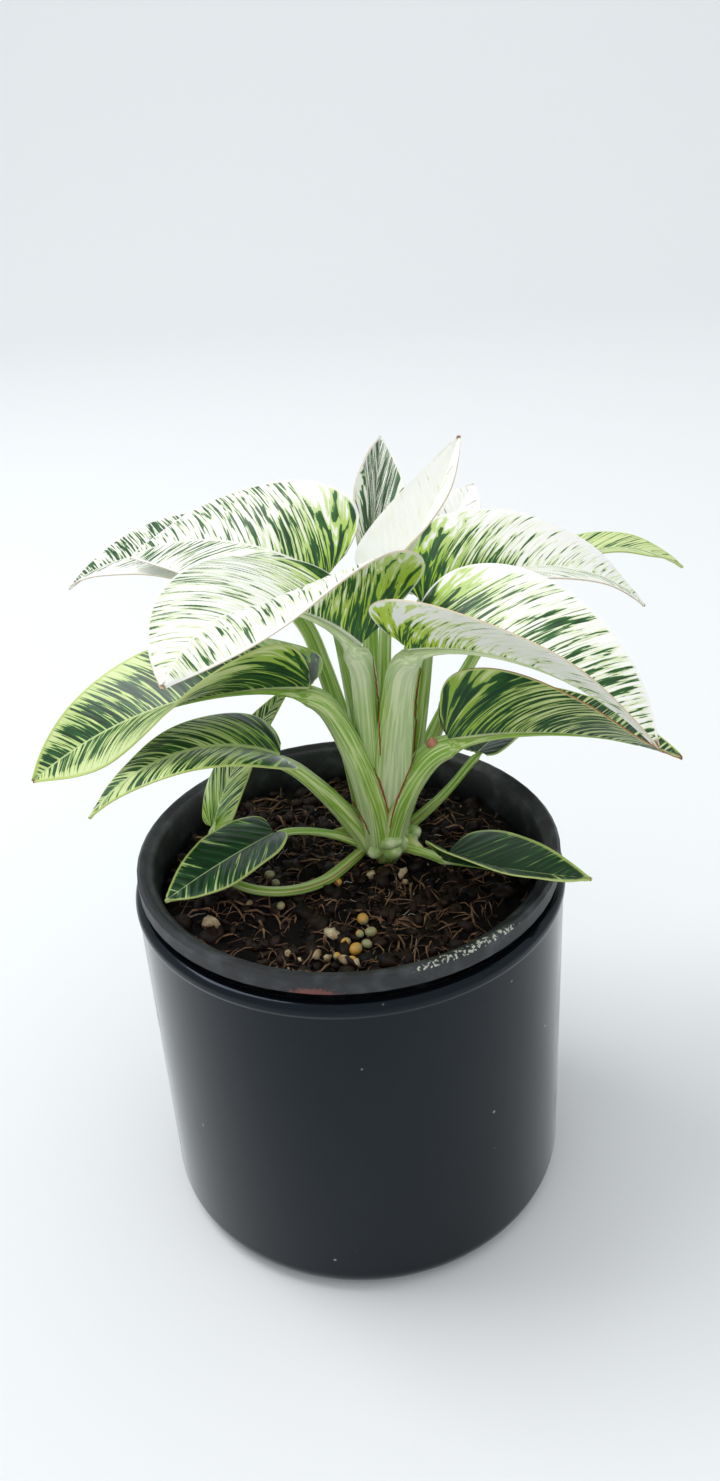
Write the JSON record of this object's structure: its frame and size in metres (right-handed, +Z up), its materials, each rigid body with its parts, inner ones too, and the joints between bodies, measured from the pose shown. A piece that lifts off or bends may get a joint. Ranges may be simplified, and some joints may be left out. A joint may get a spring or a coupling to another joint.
{
  "type": "philodendron birkin in a pot",
  "caption": "Compact potted aroid with cream-striped arching leaves on short sheathing stalks, in a nursery pot standing in a glazed cylindrical cachepot.",
  "frame": {"origin": "centre of the cachepot's flat foot, on the surface it stands on", "axes": "+Z up along the pots' common axis; -Y towards the front of the plant; +X to its right"},
  "size_m": [0.2183, 0.1587, 0.2351],
  "materials": {
    "black_glazed_ceramic": "glossy near-black glaze",
    "matte_black_plastic": "moulded matte black polypropylene",
    "potting_mix": "damp bark and coir potting mix",
    "leaf_stalk": "satin green leaf stalk with pale streaks",
    "leaf_cream_white": "glossy cream-white leaf with green flecks",
    "leaf_dark_green": "glossy dark green leaf with pale stripes"
  },
  "bodies": {
    "root": {"cachepot": "black_glazed_ceramic", "nursery_pot": "matte_black_plastic", "soil": "potting_mix", "stem": "leaf_stalk", "leaf_front_left": "leaf_cream_white", "leaf_front_right": "leaf_cream_white", "leaf_newest_upright": "leaf_cream_white", "leaf_young_rear_right": "leaf_cream_white", "leaf_rear_upright": "leaf_dark_green", "leaf_upper_right": "leaf_cream_white", "leaf_rear_left": "leaf_cream_white", "leaf_far_left": "leaf_dark_green", "leaf_far_right": "leaf_dark_green", "leaf_lower_left": "leaf_dark_green", "leaf_lower_right": "leaf_dark_green", "leaf_low_left": "leaf_dark_green", "leaf_on_curled_stalk": "leaf_dark_green", "leaf_small_left": "leaf_dark_green", "leaf_small_right": "leaf_dark_green", "leaf_small_rear": "leaf_dark_green"}
  },
  "joints": []
}
